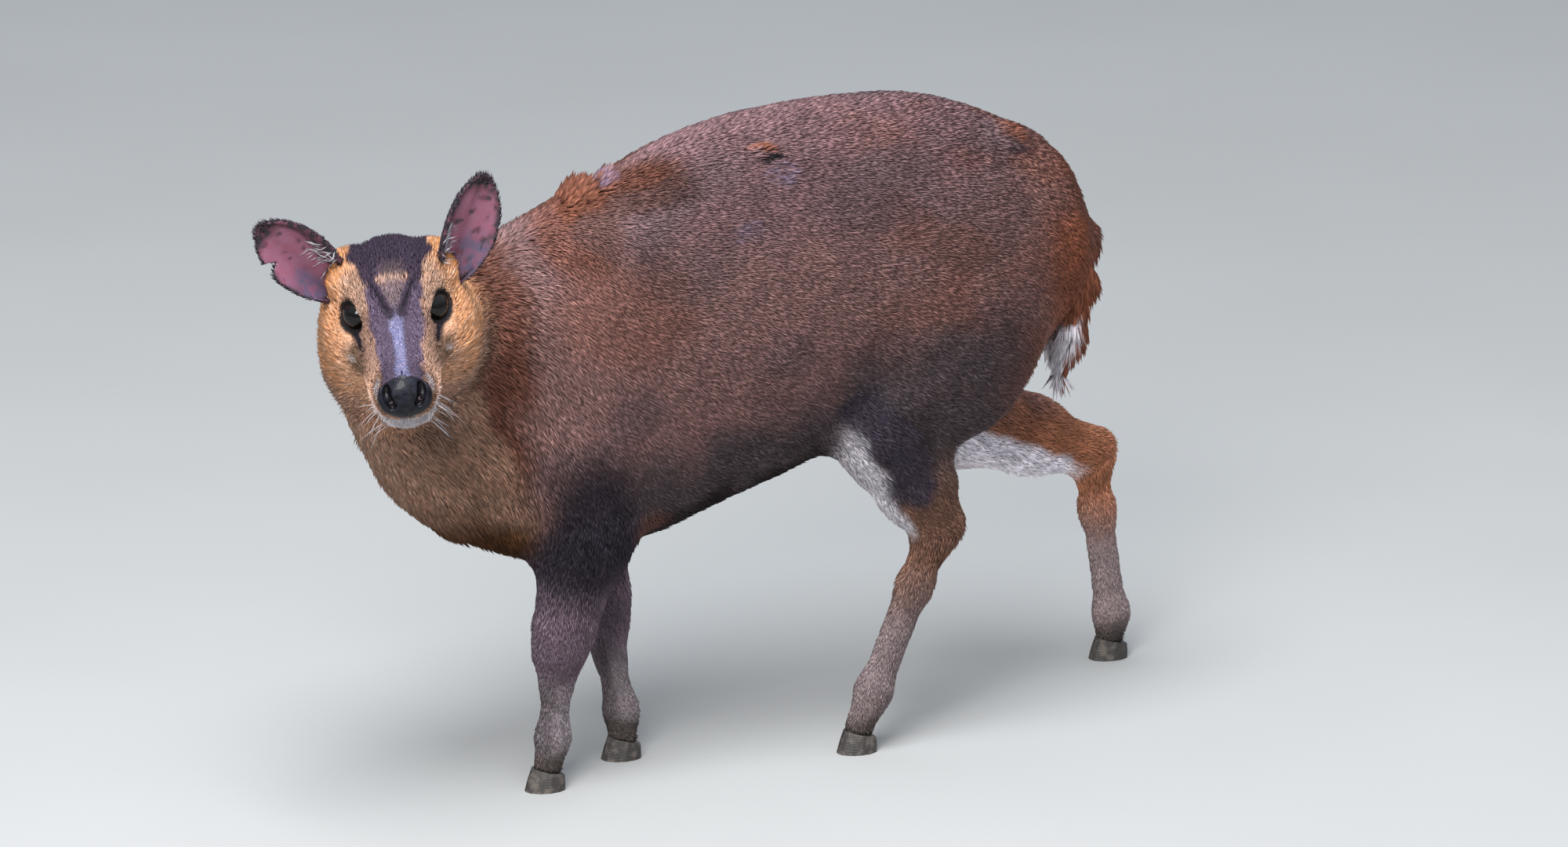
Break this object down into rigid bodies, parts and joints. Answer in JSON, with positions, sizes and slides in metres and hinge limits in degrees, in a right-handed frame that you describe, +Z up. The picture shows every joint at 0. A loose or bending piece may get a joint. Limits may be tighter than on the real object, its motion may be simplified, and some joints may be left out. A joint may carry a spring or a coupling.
{
  "type": "muntjac",
  "caption": "Adult muntjac doe, a small deer, standing in mid stride with her head turned to her left, as a still life-size figure",
  "frame": {"origin": "on the floor, under the middle of the bounding box; hooves stand on z = 0", "axes": "+Z up, she faces -X and her head is turned towards -Y, her left side is towards -Y"},
  "size_m": [0.7574, 0.2976, 0.4909],
  "materials": {
    "coat": "short dense reddish-brown hair, ticked",
    "face": "short orange hair",
    "leg": "short dark brown hair",
    "tail": "longer hair, white below",
    "ear": "thin skin, sparse hair",
    "eye": "wet gloss",
    "nose": "moist, finely pebbled",
    "hoof": "worn horn"
  },
  "bodies": {
    "root": {"ear_left": "ear", "ear_right": "ear", "eye_left": "eye", "eye_right": "eye", "fore_cannon_left": "leg", "fore_cannon_right": "leg", "foreleg_left": "coat", "foreleg_right": "coat", "head": "face", "hind_cannon_left": "leg", "hind_cannon_right": "leg", "hindleg_left": "coat", "hindleg_right": "coat", "hoof_fore_left_inner": "hoof", "hoof_fore_left_outer": "hoof", "hoof_fore_right_inner": "hoof", "hoof_fore_right_outer": "hoof", "hoof_hind_left_inner": "hoof", "hoof_hind_left_outer": "hoof", "hoof_hind_right_inner": "hoof", "hoof_hind_right_outer": "hoof", "neck": "coat", "nose": "nose", "tail": "tail", "torso": "coat"}
  },
  "joints": []
}
